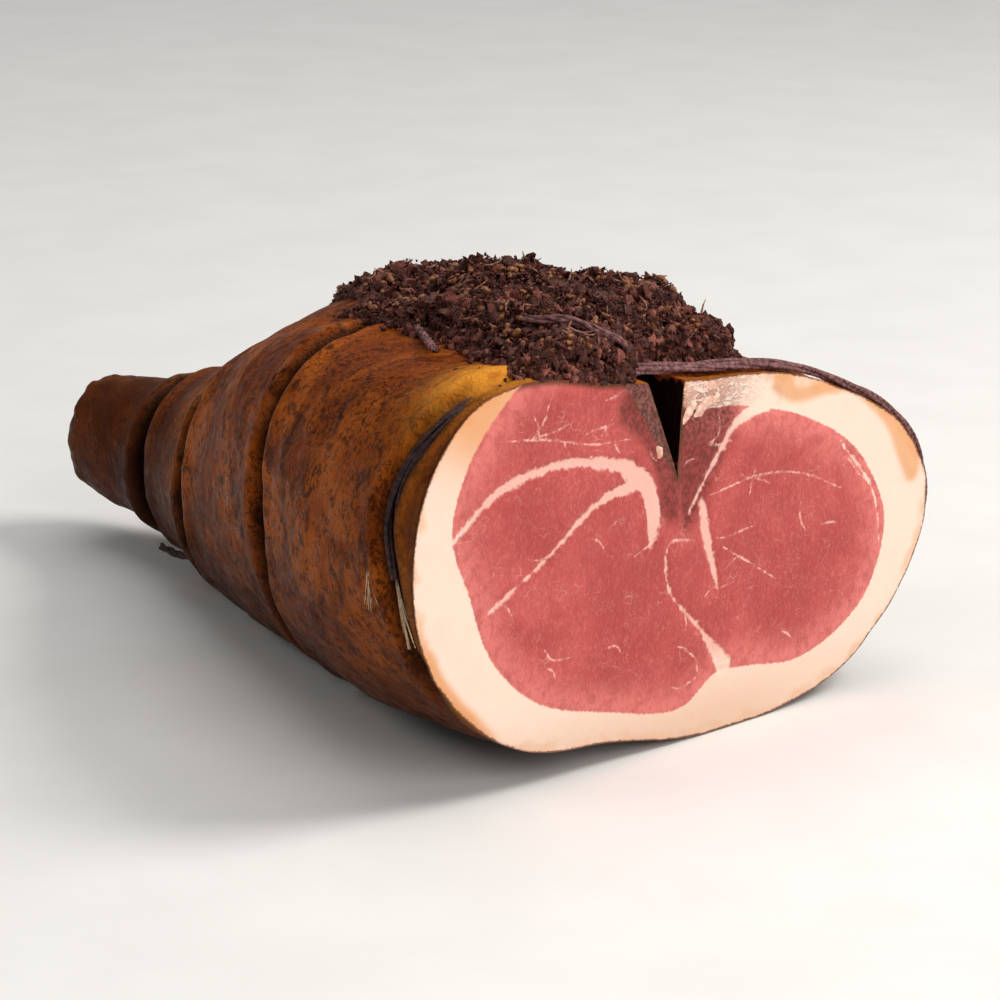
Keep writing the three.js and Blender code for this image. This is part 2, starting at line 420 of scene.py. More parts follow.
@dataclass(frozen=True)
class CutMeat:
    """Cut face: rose lean, cream fat, pale seams and fine marbling."""

    lean: tuple = (0.56, 0.100, 0.092)
    lean_pale: tuple = (0.77, 0.215, 0.190)
    lean_dark: tuple = (0.42, 0.061, 0.054)
    torn: tuple = (0.56, 0.18, 0.13)
    fat_shaded_low: tuple = (0.70, 0.46, 0.32)
    # Painted shade: the fat near the bottom of the cut is darkened towards this colour.
    bruised: tuple = (0.15, 0.024, 0.018)
    fat: tuple = (0.90, 0.70, 0.57)
    fat_rosy: tuple = (0.90, 0.63, 0.54)
    fat_warm: tuple = (0.74, 0.33, 0.12)
    seam: tuple = (0.87, 0.50, 0.42)
    rim: tuple = (0.12, 0.035, 0.012)
    lining: tuple = (0.085, 0.026, 0.018)

    def material(self) -> bpy.types.Material:
        """Builds the material.

        Returns:
            The material.
        """
        n = Node("cut_meat")
        fibre = n.noise(1.5, 4, (0.4, 1, 0.7), 0.9)
        cloud = n.noise(26, 3)
        fine = n.noise(0.8, 3)
        speckled = n.step(n.noise(8, 3), 0.46, 0.64)
        lean = n.mix(n.step(cloud, 0.32, 0.7), self.lean_dark, self.lean)
        lean = n.mix(n.step(fibre, 0.42, 0.72, (0, 0.30)), lean, self.lean_pale)
        lean = n.mix(n.step(n.value("lean"), 1, 17, (0.85, 0)), lean, self.lean_pale)
        lean = n.mix(n.step(n.noise(6, 4, bend=0.5), 0.45, 0.7, (0, 0.45)), lean, self.lean_dark)
        lean = n.mix(n.math("MULTIPLY", speckled, n.step(fine, 0.56, 0.72, (0, 0.30))), lean, self.seam)
        lean = n.mix(n.step(n.noise(3.2, 4, bend=0.6), 0.48, 0.66, (0, 0.30)), lean, self.lean_dark)
        dark = n.math("ADD", n.value("dark"), n.step(cloud, 0.3, 0.7, (-2, 2)))
        mottle = n.step(n.noise(2.0, 4), 0.35, 0.65, (0.55, 1.0))
        lean = n.mix(n.math("MULTIPLY", n.step(dark, -3.5, 2.5, (0, 0.9)), mottle), lean, self.bruised)
        wander = n.add("TexNoise", {"Vector": n.spot(), "Scale": 0.16, "Detail": 3.0}).outputs[1]
        place = n.mix(0.75, n.spot((1, 0.13, 0.22)), wander, "ADD")
        flecks = n.add("TexVoronoi", {"Vector": place, "Scale": 1.3}, feature="DISTANCE_TO_EDGE").outputs[0]
        fleck = n.math("MULTIPLY", n.step(flecks, 0.012, 0.05, (1, 0)), n.step(n.noise(9, 2), 0.58, 0.72))
        lean = n.mix(n.math("MULTIPLY", fleck, 0.32), lean, self.seam)
        jitter = n.step(n.noise(1.4, 3), 0.25, 0.75, (-0.3, 0.3))
        vein = n.step(n.math("ADD", n.value("vein"), jitter), -0.22, 0.22, (0.85, 0))
        vein = n.math("MULTIPLY", vein, n.step(n.noise(4, 4, bend=0.8), 0.40, 0.58, (0.12, 0.9)))
        lean = n.mix(vein, lean, self.seam)
        fat_grain = n.noise(12, 3)
        fat = n.mix(n.step(fat_grain, 0.35, 0.75, (0, 0.28)), self.fat, self.fat_rosy)
        near_rind = n.math("ADD", n.value("edge"), n.step(fat_grain, 0.3, 0.7, (-2, 3)))
        fat = n.mix(n.step(near_rind, 0.5, 5, (0.45, 0)), fat, self.fat_warm)
        fat = n.mix(n.step(n.value("warm"), 0, 1, (0, 0.85)), fat, self.fat_warm)
        # Painted shade: the fat darkens towards the bottom of the cut.
        fat = n.mix(n.math("MULTIPLY", n.value("under"), 0.7), fat, self.fat_shaded_low)
        shape = {"Vector": n.spot((1, 0.42, 1.0)), "Scale": 0.55, "Detail": 4.0, "Distortion": 1.6}
        rags = n.add("TexNoise", shape)
        rags = n.step(rags.outputs[0], 0.42, 0.58)
        fat = n.mix(n.math("MULTIPLY", n.value("torn"), n.math("MULTIPLY", rags, 0.85)), fat, self.torn)
        colour = n.mix(n.step(n.math("ADD", n.value("lean"), jitter), -0.5, 0.35), fat, lean)
        seam_colour = n.mix(n.step(n.value("lean"), 2, 12), fat, self.seam)
        ragged = n.math("ADD", jitter, n.step(n.noise(5, 4, bend=0.7), 0.25, 0.75, (-0.75, 0.75)))
        seam = n.step(n.math("ADD", n.value("seam"), ragged), -1.0, 0.30, (0.95, 0))
        colour = n.mix(seam, colour, seam_colour)
        at_edge = n.step(n.value("edge"), 0.3, 3.2, (0.95, 0))
        dry = n.math("MULTIPLY", at_edge, n.step(n.value("lean"), -1, 1))
        dry = n.math("MAXIMUM", dry, n.step(n.math("ADD", n.value("edge"), jitter), 0.25, 0.9, (0.9, 0)))
        colour = n.mix(dry, colour, self.rim)
        lining = n.step(n.math("ADD", n.value("lining"), ragged), 0.4, -0.4, (0, 0.92))
        colour = n.mix(lining, colour, n.mix(n.step(fibre, 0.4, 0.65), self.lining, (0.26, 0.10, 0.075)))
        n.bumps([
            (n.math("MULTIPLY", fibre, n.step(n.value("lean"), 0, 2)), 0.5),
            (fine, 0.12),
            (n.math("MULTIPLY", rags, n.value("torn")), -1.2),
        ])
        rough = n.step(n.noise(7, 3), 0.3, 0.7, (0.34, 0.52))
        return n.finish(colour, rough, soft=2.5, gloss=0.20)


@dataclass(frozen=True)
class Rind:
    """Leathery brown skin, freckled and clouded, golden where it is thin; a painted golden highlight on top
    of the shank, and painted shade in the creases, the pocket and low down.
    """

    tan: tuple = (0.38, 0.088, 0.008)
    brown: tuple = (0.19, 0.036, 0.004)
    dark: tuple = (0.026, 0.0050, 0.0014)
    # Amber of thin rind, also used for a painted golden highlight on top of the shank.
    amber_and_highlight: tuple = (0.66, 0.25, 0.024)
    shank: tuple = (0.050, 0.0105, 0.003)
    russet: tuple = (0.085, 0.014, 0.003)
    # fold: near-black painted shade for the tie creases and the deep pocket.
    fold: tuple = (0.006, 0.002, 0.0015)
    scuffed: tuple = (0.42, 0.24, 0.13)
    glow: tuple = (0.16, 0.026, 0.010)

    def material(self) -> bpy.types.Material:
        """Builds the material.

        Returns:
            The material.
        """
        n = Node("rind")
        broad = n.noise(34, 4, bend=0.8)
        cloud = n.noise(13, 5, (1, 1, 0.8), 1.6)
        freckle = n.noise(1.7, 4, (0.8, 1, 0.75), 0.9)
        fine = n.noise(0.8, 3)
        cells = {"Vector": n.spot((1, 0.8, 0.55)), "Scale": 0.42}
        creases = n.add("TexVoronoi", cells, feature="DISTANCE_TO_EDGE")
        colour = n.mix(n.step(broad, 0.36, 0.64), self.brown, self.tan)
        colour = n.mix(n.step(cloud, 0.50, 0.68, (0, 0.72)), colour, self.dark)
        wisp = n.step(n.math("ABSOLUTE", n.math("SUBTRACT", cloud, 0.47)), 0, 0.03, (1, 0))
        wisp = n.math("MULTIPLY", wisp, n.step(n.noise(24, 3), 0.46, 0.62, (0, 0.75)))
        colour = n.mix(wisp, colour, self.dark)
        thick_set = n.math("ADD", freckle, n.step(n.noise(9, 3, bend=0.8), 0.3, 0.7, (-0.09, 0.07)))
        colour = n.mix(n.step(thick_set, 0.50, 0.64, (0, 0.72)), colour, self.dark)
        colour = n.mix(n.step(freckle, 0.30, 0.46, (0.40, 0)), colour, self.tan)
        # Painted shade: the rind darkens towards the floor.
        low = n.math("MULTIPLY", n.value("low"), n.step(broad, 0.3, 0.7, (0.92, 0.74)))
        colour = n.mix(low, colour, self.dark)
        # Amber where the rind is thin, plus a painted golden highlight on top of the shank.
        warm = n.math("MULTIPLY", n.value("amber_and_highlight"), n.step(n.noise(7, 4), 0.25, 0.62, (0.35, 1)))
        colour = n.mix(warm, colour, self.amber_and_highlight)
        shank = n.math("MULTIPLY", n.value("shank"), n.step(broad, 0.3, 0.7, (0.95, 0.68)))
        colour = n.mix(shank, colour, self.shank)
        strip = n.math("MULTIPLY", n.value("strip"), n.step(cloud, 0.3, 0.7, (0.95, 0.6)))
        colour = n.mix(strip, colour, self.russet)
        dusty = n.step(n.noise(5, 5, (1, 0.35, 0.35)), 0.50, 0.68, (0, 0.7))
        pale = n.math("MULTIPLY", n.value("scuff"), dusty)
        colour = n.mix(pale, colour, self.scuffed)
        # Painted shade: the creases of the ties and of the front tie go near-black.
        colour = n.mix(n.math("MULTIPLY", n.value("groove_shade"), 0.97), colour, self.fold)
        # Painted shade in the pocket: reddish-brown near its mouth, near-black deeper in.
        depth = n.math("ADD", n.value("pocket"), n.step(cloud, 0.3, 0.7, (-0.3, 0.3)))
        deep = n.mix(n.step(depth, 0.3, 0.6), self.glow, self.fold)
        colour = n.mix(n.step(n.value("pocket"), 0.02, 0.1), colour, deep)
        n.bumps([
            (broad, 1.2),
            (cloud, 1.1),
            (n.step(creases.outputs[0], 0, 0.10), 0.14),
            (freckle, 0.5),
            (fine, 0.10),
        ])
        rough = n.step(n.noise(6, 3), 0.3, 0.7, (0.36, 0.58))
        return n.finish(colour, rough, gloss=0.07, sheen=(1.0, 0.5, 0.22))


@dataclass(frozen=True)
class Plain:
    """One stained, fibrous finish between two colours."""

    name: str
    low: tuple
    high: tuple
    size: float = 2.0
    stretch: tuple = (1, 1, 1)
    roughness: tuple = (0.55, 0.8)
    tint: Optional[tuple] = None
    depth: float = 0.3
    gloss: float = 0.3

    def material(self) -> bpy.types.Material:
        """Builds the material.

        Returns:
            The material.
        """
        n = Node(self.name)
        spots = n.noise(self.size, 4, self.stretch)
        colour = n.mix(n.step(spots, 0.3, 0.7), self.low, self.high)
        if self.tint is not None:
            colour = n.mix(n.step(n.value("tint"), 0.35, 1.0, (0, 0.8)), colour, self.tint)
        n.bumps([(spots, self.depth), (n.noise(self.size / 4, 2), self.depth / 3)])
        rough = n.step(n.noise(self.size * 1.7, 2), 0.3, 0.7, self.roughness)
        return n.finish(colour, rough, gloss=self.gloss)


class Stain(Enum):
    """The finishes that share one pattern."""

    BROWN_TWINE = Plain("brown_twine", (0.012, 0.005, 0.003), (0.06, 0.025, 0.015), 1.2)
    PURPLE_TWINE = Plain("purple_twine", (0.055, 0.017, 0.017), (0.30, 0.13, 0.125), 1.3, (0.35, 0.8, 0.8),
                         tint=(0.010, 0.004, 0.003))
    FRAYED = Plain("frayed_twine", (0.36, 0.22, 0.13), (0.68, 0.50, 0.34), 1.0,
                   tint=(0.05, 0.02, 0.014), depth=0.1)
    POMACE = Plain("pomace", (0.011, 0.0028, 0.0022), (0.115, 0.026, 0.015), 1.6, roughness=(0.3, 0.7),
                   tint=(0.29, 0.085, 0.060), depth=0.5, gloss=0.22)
    POMACE_JUICE = Plain("pomace_juice", (0.006, 0.0016, 0.0012), (0.034, 0.008, 0.005), 1.6,
                         roughness=(0.6, 0.9), depth=0.6, gloss=0.06)
    SEED = Plain("grape_seed", (0.10, 0.030, 0.010), (0.30, 0.115, 0.035), 1.5,
                 roughness=(0.3, 0.5), depth=0.1)
    STALK = Plain("grape_stalk", (0.13, 0.045, 0.03), (0.36, 0.17, 0.11), 1.3, depth=0.2)
    TORN_FAT = Plain("torn_fat", (0.66, 0.32, 0.22), (0.88, 0.62, 0.50), 2.5, roughness=(0.35, 0.55))
    PLASTER = Plain("pale_floor", (0.80, 0.79, 0.77), (0.83, 0.82, 0.80), 60,
                    roughness=(0.75, 0.8), depth=0.0)


# ---- shape of the ham ------------------------------------------------------
@dataclass(frozen=True)
class HamShape:
    """Outer shape of the ham in its working frame, in millimetres."""

    tip_x: float = -192
    cut_x: float = 198
    cut_width: float = 137
    cut_height: float = 80
    cut_radii: tuple = (137, 95, 69, 63, 79, 131, 136, 113, 82, 79, 92, 121)
    sections: tuple = (
        (-192, 13, 14, 10, 48, 1),
        (-186, 22, 24, 11, 47, 1),
        (-170, 27, 30, 12, 45, 1),
        (-142, 31, 33, 14, 45, 1),
        (-110, 40, 41, 16, 46, 0.9),
        (-60, 65, 61, 18, 53, 0.8),
        (0, 86, 80, 12, 66, 0.65),
        (50, 100, 86, 7, 72, 0.5),
        (110, 119, 86, 1, 76, 0.35),
        (160, 131, 83, 0, 79, 0.14),
        (198, 137, 80, 0, 80, 0),
    )
    ties: tuple = ((-122, 3, 6), (-50, 4, 7), (58, 5, 8))
    front_angles: tuple = (-28, 0, 30, 60, 90, 110, 128, 145, 152, 160, 168, 175, 190)
    front_places: tuple = (192, 193, 193, 190, 187, 185, 186, 187, 184, 179, 177, 183, 190)
    notch_mouth: tuple = ((-33, 175), (1, 175), (-5, 108))
    notch_end: tuple = ((-26, 175), (-8, 175), (-16, 136))
    notch_depth: float = 80

    def section(self, x: Array) -> tuple:
        """Gives half width, half height, middle y and z, and roundness at x.

        Args:
            x: Places along the ham.

        Returns:
            The five values at each place.
        """
        rows = np.array(self.sections)
        at = through(rows[:, 0], rows[:, 1:])(x)
        return tuple(np.moveaxis(at, -1, 0))

    def cut_radius(self, angle: Array) -> Array:
        """Gives the radius of the cut face at an angle in degrees.

        Args:
            angle: Angles round the face.

        Returns:
            The radii.
        """
        turns = [30 * (i - 2) for i in range(17)]
        radii = [self.cut_radii[(t // 30) % 12] for t in turns]
        return through(turns, radii)(np.mod(angle, 360))[..., 0]

    def front_place(self, angle: Array) -> Array:
        """Gives the front tie's place along the ham at an angle in degrees.

        Args:
            angle: Angles round the ham.

        Returns:
            The places.
        """
        turned = np.mod(np.asarray(angle, float) + 90, 360) - 90
        return through(self.front_angles, self.front_places)(turned)[..., 0]

    def radial(self, x: Array, angle: Array) -> tuple:
        """Gives the section's middle, the outward direction and the plain radius.

        Args:
            x: Places along the ham.
            angle: Angles round it in degrees.

        Returns:
            Middle points, unit directions and radii.
        """
        x, angle = np.broadcast_arrays(np.asarray(x, float), np.asarray(angle, float))
        width, height, y, z, plain = self.section(x)
        a = np.radians(angle)
        radius = self.cut_radius(angle)
        across = width * np.cos(a) * (plain + (1 - plain) * radius / self.cut_width)
        up = height * np.sin(a) * (plain + (1 - plain) * radius / self.cut_height)
        reach = np.hypot(across, up)
        out = np.stack([np.zeros_like(x), across / reach, up / reach], -1)
        for place, depth, spread in self.ties:
            reach = reach - depth * bell(x - place, spread)
        return np.stack([x, y, z], -1), out, reach

    def skin(self, x: Array, angle: Array) -> Array:
        """Gives points of the plain skin, without folds and notch.

        Args:
            x: Places along the ham.
            angle: Angles round it.

        Returns:
            The points.
        """
        middle, out, reach = self.radial(x, angle)
        points = middle + out * reach[..., None]
        points[..., 2] = np.maximum(points[..., 2], 0)
        return points

    def lifted(self, x: Array, angle: Array, lift: Array) -> Array:
        """Gives points lifted off the plain skin along its outward direction.

        Args:
            x: Places along the ham.
            angle: Angles round it.
            lift: Height over the skin.

        Returns:
            The points.
        """
        x = np.asarray(x, float)
        ahead, behind = np.minimum(x + 2, self.cut_x), np.maximum(x - 2, self.tip_x)
        along = self.skin(ahead, angle) - self.skin(behind, angle)
        outward = np.cross(self.skin(x, angle + 1) - self.skin(x, angle - 1), along)
        outward /= np.linalg.norm(outward, axis=-1)[..., None]
        return self.skin(np.minimum(x, self.cut_x), angle) + outward * np.asarray(lift, float)[..., None]


@dataclass(frozen=True)
class FacePattern:
    """What the cut shows, as smooth lines of y, z and, for seams and veins, half width."""

    lean: tuple = (
        (-92, 150), (-110, 130), (-118, 106), (-110, 82), (-100, 56), (-78, 34), (-40, 21), (0, 14),
        (18, 24), (32, 23), (68, 20), (102, 38), (112, 68), (96, 98), (64, 118), (30, 128), (-3, 134),
        (-20, 165), (-60, 165), (-82, 157),
    )
    seams: tuple = (
        ((-119, 102, 1.2), (-95, 118, 2), (-60, 122, 2), (-30, 115, 3)),
        ((-31, 114, 4), (-21, 106, 4), (-17, 94, 4), (-19, 83, 1.5)),
        ((-26, 108, 3), (-46, 104, 1.8), (-74, 87, 0.8), (-100, 73, 1.2)),
        ((4, 80, 0.5), (-9, 81, 0.6), (-9, 64, 0.8), (8, 44, 1.2), (22, 26, 4)),
        ((9, 94, 1.8), (10, 84, 2.6), (14, 70, 2), (18, 58, 0.7)),
        ((46, 128, 4.5), (28, 122, 2), (14, 106, 1.2), (2, 91, 0.7)),
        ((86, 104, 0.6), (106, 79, 0.8), (110, 58, 0.5)),
    )
    main_veins: tuple = (
        ((-98, 137), (-72, 133), (-48, 127), (-31, 126)),
        ((12, 96), (42, 99), (64, 95), (86, 85)),
        ((20, 74), (36, 64), (50, 55)),
    )
    vein_count: int = 34
    sprigs: int = 6
    dark: tuple = (
        ((-30, 146), (-5, 107), (-4, 90), (-12, 92), (-15, 104), (-20, 118), (-36, 138)),
        ((-5, 131), (12, 134), (27, 126), (17, 107), (9, 94), (0, 86), (-5, 105)),
    )
    vein_width: float = 0.42

    @staticmethod
    def to_line(spots: Array, line: Array) -> Array:
        """Measures how far spots are from a line, less its half width there.

        Args:
            spots: Points with y and z.
            line: Points with y, z and half width.

        Returns:
            One distance for each spot, negative on the line.
        """
        nearest = np.full(len(spots), 1e3)
        for a, b in zip(line[:-1], line[1:]):
            run = b[:2] - a[:2]
            share = np.clip((spots - a[:2]) @ run / (run @ run), 0, 1)
            gap = np.linalg.norm(spots - a[:2] - share[:, None] * run, axis=1)
            nearest = np.minimum(nearest, gap - (a[2] + share * (b[2] - a[2])))
        return nearest

    @staticmethod
    def inside(spots: Array, loop: Array) -> Array:
        """Measures how far inside a closed line spots are, negative outside it.

        Args:
            spots: Points with y and z.
            loop: The closed line.

        Returns:
            One distance for each spot.
        """
        nearest = np.full(len(spots), 1e3)
        within = np.zeros(len(spots), bool)
        for a, b in zip(loop, np.roll(loop, -1, axis=0)):
            run = b - a
            share = np.clip((spots - a) @ run / max(run @ run, 1e-9), 0, 1)
            nearest = np.minimum(nearest, np.linalg.norm(spots - a - share[:, None] * run, axis=1))
            if a[1] != b[1]:
                crosses = (a[1] > spots[:, 1]) != (b[1] > spots[:, 1])
                within ^= crosses & (spots[:, 0] < a[0] + (spots[:, 1] - a[1]) * run[0] / run[1])
        return np.where(within, nearest, -nearest)

    def grown_veins(self) -> list:
        """Grows short wandering veins inside the lean, and sprigs off the first main one.

        Returns:
            The veins, each a list of y and z.
        """
        rng = np.random.default_rng(71)
        lean = smooth_line([(*p, 0) for p in self.lean], 2.0, closed=True)[:, :2]
        grown = []
        for _ in range(40 * self.vein_count):
            if len(grown) == self.vein_count:
                break
            heading = rng.normal(0, 0.8) + pi * rng.integers(0, 2)
            row = [rng.uniform((-108, 24), (106, 148))]
            if len(grown) < self.sprigs:
                share = rng.uniform(0.1, 0.9)
                first, last = np.array(self.main_veins[0][0]), np.array(self.main_veins[0][-1])
                row = [first + (last - first) * share]
                heading = rng.choice((-1, 1)) * rng.uniform(0.8, 1.6)
            for _ in range(rng.integers(2, 5)):
                heading += rng.normal(0, 0.45)
                row.append(row[-1] + rng.uniform(2.5, 6) * np.array([cos(heading), sin(heading)]))
            if self.inside(np.array(row), lean).min() > 3:
                grown.append([tuple(spot) for spot in row])
        return grown

    def lines(self) -> tuple:
        """Gives the smooth seam and vein lines.

        Returns:
            The seams and the veins, each point with its half width.
        """
        seams = [smooth_line(row, 1.2) for row in self.seams]
        veins = []
        for row in [*self.main_veins, *self.grown_veins()]:
            line = smooth_line([(y, z, 0) for y, z in row], 0.8)
            line[:, 2] = self.vein_width * (1 - 0.6 * np.linspace(-1, 1, len(line)) ** 2)
            veins.append(line)
        return seams, veins

    def values(self, spots: Array, rim: Array) -> dict:
        """Works out the finish values of places on the cut.

        Args:
            spots: Points with y and z.
            rim: Outline of the cut.

        Returns:
            The named values, in millimetres from each feature.
        """
        seams, veins = self.lines()
        lean = smooth_line([(*p, 0) for p in self.lean], 2.0, closed=True)[:, :2]
        y, z = spots.T
        top_left = bell(np.hypot(y + 104, z - 150), 26)
        side = np.maximum(self.inside(spots, rim), 0)
        left = (1 - ramp(side, 1, 7)) * ramp(-y, 88, 110) * (1 - ramp(z, 55, 85))
        right = self.to_line(spots, smooth_line(
            [(52, 134, 4), (58, 128, 2), (90, 128, 3), (114, 108, 2), (126, 92, 5), (128, 84, 3)], 3))
        return {
            "lean": self.inside(spots, lean),
            "seam": np.min([self.to_line(spots, line) for line in seams], axis=0),
            "vein": np.min([self.to_line(spots, line) for line in veins], axis=0),
            "dark": np.max([self.inside(spots, smooth_line([(*p, 0) for p in row], 3, True)[:, :2])
                            for row in self.dark], axis=0),
            "edge": side,
            # under: painted shade towards the bottom of the cut.
            "under": (1 - ramp(z, 2, 34)) * (0.5 + 0.5 * ramp(-y, -90, -20)),
            "torn": bell(y - 9 - 0.6 * (z - 133), 20) * bell(z - 133, 11),
            "warm": np.maximum.reduce([top_left, left, 0.8 * (1 - ramp(right, -1, 4))]),
            "lining": self.to_line(spots, smooth_line(
                [(-30, 157, 7), (-24, 143, 5), (-18, 131, 3.4), (-11.5, 119, 2.3), (-6, 109, 1.2)], 2)),
        }


# ---- pieces ----------------------------------------------------------------
@dataclass
class CutHam:
    """The meat in its rind: folds at the ties, a pocket over the bone and the cut face."""

    shape: HamShape = field(default_factory=HamShape)
    pattern: FacePattern = field(default_factory=FacePattern)
    meat: CutMeat = CutMeat()
    rind: Rind = Rind()
    origin: Array = field(default_factory=lambda: np.zeros(3))
    face_grain: float = 1.15
    turn_step: float = 1.42
    pocket_step: float = 0.5

    def places(self) -> Array:
        """Gives the places of the rings along the ham, closer together at folds.

        Returns:
            The places.
        """
        x = np.linspace(self.shape.tip_x, self.shape.cut_x, 4000)
        dense = 0.34 + 0.5 * ramp(x, 112, 160) + 0.1 * ramp(x, 175, 198) + 0.5 * bell(x + 192, 6)
        for place, _, _ in self.shape.ties:
            dense = dense + 0.75 * bell(x - place, 8)
        count = np.r_[0, np.cumsum((dense[1:] + dense[:-1]) / 2 * np.diff(x))]
        return np.interp(np.linspace(0, count[-1], int(count[-1]) + 1), count, x)

    def turns(self) -> Array:
        """Gives the angles of the points round a ring, closer together at the pocket.

        Returns:
            The angles.
        """
        fine = np.arange(84, 118, self.pocket_step)
        rest = np.linspace(118, 84 + 360, int(326 / self.turn_step), endpoint=False)
        return np.r_[fine, rest]

    def wall(self, x: Array, middle: Array, out: Array) -> Array:
        """Gives how far out the pocket's walls are, or a large number beside it.

        Args:
            x: Places along the ham.
            middle: Middles of the sections.
            out: Directions away from the middles.

        Returns:
            The distances.
        """
        share = np.clip((self.shape.cut_x - x) / self.shape.notch_depth, 0, 1)[..., None]
        left, right, deep = [
            np.array(a) * (1 - share) + np.array(b) * share
            for a, b in zip(self.shape.notch_mouth, self.shape.notch_end)
        ]
        reach = np.full(x.shape, 1e3)
        for top in (left, right):
            run, start = top - deep, deep - middle[..., 1:]
            turn = out[..., 1] * run[..., 1] - out[..., 2] * run[..., 0]
            turn = np.where(np.abs(turn) < 1e-6, 1e-6, turn)
            far = (start[..., 0] * run[..., 1] - start[..., 1] * run[..., 0]) / turn
            along = (start[..., 0] * out[..., 2] - start[..., 1] * out[..., 1]) / turn
            hit = (far > 0) & (along >= -0.02) & (along < 1.5)
            reach = np.where(hit, np.minimum(reach, far), reach)
        return reach

    def outside(self, x: Array, angle: Array) -> tuple:
        """Shapes the rind.

        Args:
            x: Places along the ham, one row for each ring.
            angle: Angles round it.

        Returns:
            The points and the named values of the rind.
        """
        middle, out, reach = self.shape.radial(x, angle)
        base = middle + out * reach[..., None]
        x, angle = np.broadcast_arrays(x, angle)
        calm = 0.25 + 0.75 * ramp(self.shape.cut_x - x, 0, 14)
        lift = calm * (1.5 * grain(base, 40, 2, 1) + 0.55 * grain(base, 13, 2, 2))
        groove_shade, scuff = np.zeros_like(reach), np.zeros_like(reach)
        ripple = grain(base * (0.12, 1, 1), 9, 2, 3)
        for place, _, _ in self.shape.ties:
            off = x - place + 0.6 * grain(base * (0, 1, 1), 30, 1, 4)
            swell = 1 + 0.35 * grain(base, 60, 1, 5)
            lift += 2.6 * swell * bell(np.abs(off) - 9, 5.5) - 4.6 * bell(x - place, 2.6)
            lift += 0.8 * ripple * bell(np.abs(off) - 6, 5)
            width = 4.2 + 1.2 * grain(base * (0, 1, 1), 45, 1, 11)
            # Painted shade along each tie crease, on the side of it that shows.
            groove_shade = np.maximum(groove_shade, bell(x - place + 2.2, width))
            scuff = np.maximum(scuff, bell(off - 6, 3.0) + 0.6 * bell(off + 9, 3.0))
        off = x - self.shape.front_place(angle)
        from_right = np.mod(angle + 60, 360)
        over = ramp(from_right, 22, 34) * (1 - ramp(from_right, 250, 262))
        tight = over * (0.45 + 0.55 * ramp(from_right, 170, 200))
        lift += tight * (1.3 * bell(np.abs(off) - 8.5, 3.6) * calm - 4.6 * bell(off, 4.2))
        lift += over * 0.7 * ripple * bell(np.abs(off) - 7, 5)
        left = over * ramp(from_right, 196, 212)
        # Painted shade in the front tie's crease on the near side, and along the rind's edge by the cut.
        groove_shade = np.maximum(groove_shade, left * bell(off - 0.6, 6.2))
        groove_shade = np.maximum(groove_shade, 0.75 * left * ramp(x, 196.4, 197.6))
        lump = bell(np.hypot((x - 180) / 1.1, (angle - 139) * 1.5), 15)
        lift += 4.5 * lump + 2.5 * bell(np.hypot(x - 36, (angle - 104) * 1.3), 20)
        worn = ramp(-x, 168, 188)
        lift += worn * (1.6 * grain(base, 12, 3, 6) + 0.9 * grain(base, 5, 2, 7))
        outer = reach + lift
        wall = self.wall(x, middle, out) + 1.8 * grain(base, 11, 3, 8)
        close = ramp(self.shape.cut_x - x, 0.80 * self.shape.notch_depth, self.shape.notch_depth)
        inner = np.minimum(outer, wall)
        inner = inner + (outer - inner) * close
        points = middle + out * inner[..., None]
        points[..., 2] = np.maximum(points[..., 2], 0)
        front = ramp(x, 178, 196)
        amber_and_highlight = np.maximum(np.minimum(1.3 * lump, 1), 0.22 * front * over * ramp(off, 3, 8))
        # Painted golden highlight on top of the shank.
        amber_and_highlight = np.maximum(amber_and_highlight, 0.18 * bell(np.hypot(x + 160, (angle - 110) * 0.4), 18))
        amber_and_highlight = np.maximum(amber_and_highlight, 0.30 * ramp(x, 190, 197) * (1 - bell(angle - 92, 22)))
        return points, {
            # groove: painted shade in the creases.
            "groove_shade": groove_shade,
            "scuff": scuff * ramp(base[..., 2] - middle[..., 2], 0, 40),
            "amber_and_highlight": amber_and_highlight,
            "shank": np.maximum(ramp(-x, 114, 128), 0.75 * ramp(-x, 20, 110)),
            # low: painted shade, strongest near the floor.
            "low": 1 - ramp(base[..., 2] + 8 * grain(base, 40, 2, 13), 10, 96),
            "strip": left * ramp(off, -2, 4) * (1 - 0.75 * bell(off - 9, 3.5)),
            # pocket: depth of the pocket wall, which sets its painted shade.
            "pocket": np.where(outer - inner > 0.4, np.clip(1.15 - (outer - inner) / 60, 0.2, 1), 0),
        }

    def face(self, rim: Array) -> tuple:
        """Lays the mesh of the cut face inside its rim.

        Args:
            rim: Outline of the face, y and z.

        Returns:
            The added points, y and z, and triangles that count the rim's points first.
        """
        gap = self.face_grain
        low, high = rim.min(0), rim.max(0)
        rows = np.arange(low[1], high[1], gap * 0.866)
        cols = np.arange(low[0], high[0], gap)
        y, z = np.meshgrid(cols, rows)
        y = y + gap / 2 * (np.arange(len(rows)) % 2)[:, None]
        grid = np.stack([y.ravel(), z.ravel()], -1)
        seams, veins = self.pattern.lines()
        marks = np.vstack([line[:, :2] for line in veins] + [line[:, :2] for line in seams])
        marks = marks[self.pattern.inside(marks, rim) > 0.8]
        near = np.full(len(grid), 1e3)
        for spot in marks:
            near = np.minimum(near, np.hypot(*(grid - spot).T))
        grid = grid[(self.pattern.inside(grid, rim) > 0.55) & (near > 0.5 * gap)]
        spots = np.vstack([rim, grid, marks])
        count = len(rim)
        edges = [(i, (i + 1) % count) for i in range(count)]
        _, _, faces, before, _, _ = delaunay_2d_cdt([Vector(p) for p in spots], edges, [], 1, 1e-4)
        first = np.array([min(b) if b else -1 for b in before])
        if (first < 0).any():
            raise RuntimeError("the outline of the cut crosses itself")
        return spots[count:], [tuple(first[list(f)]) for f in faces]

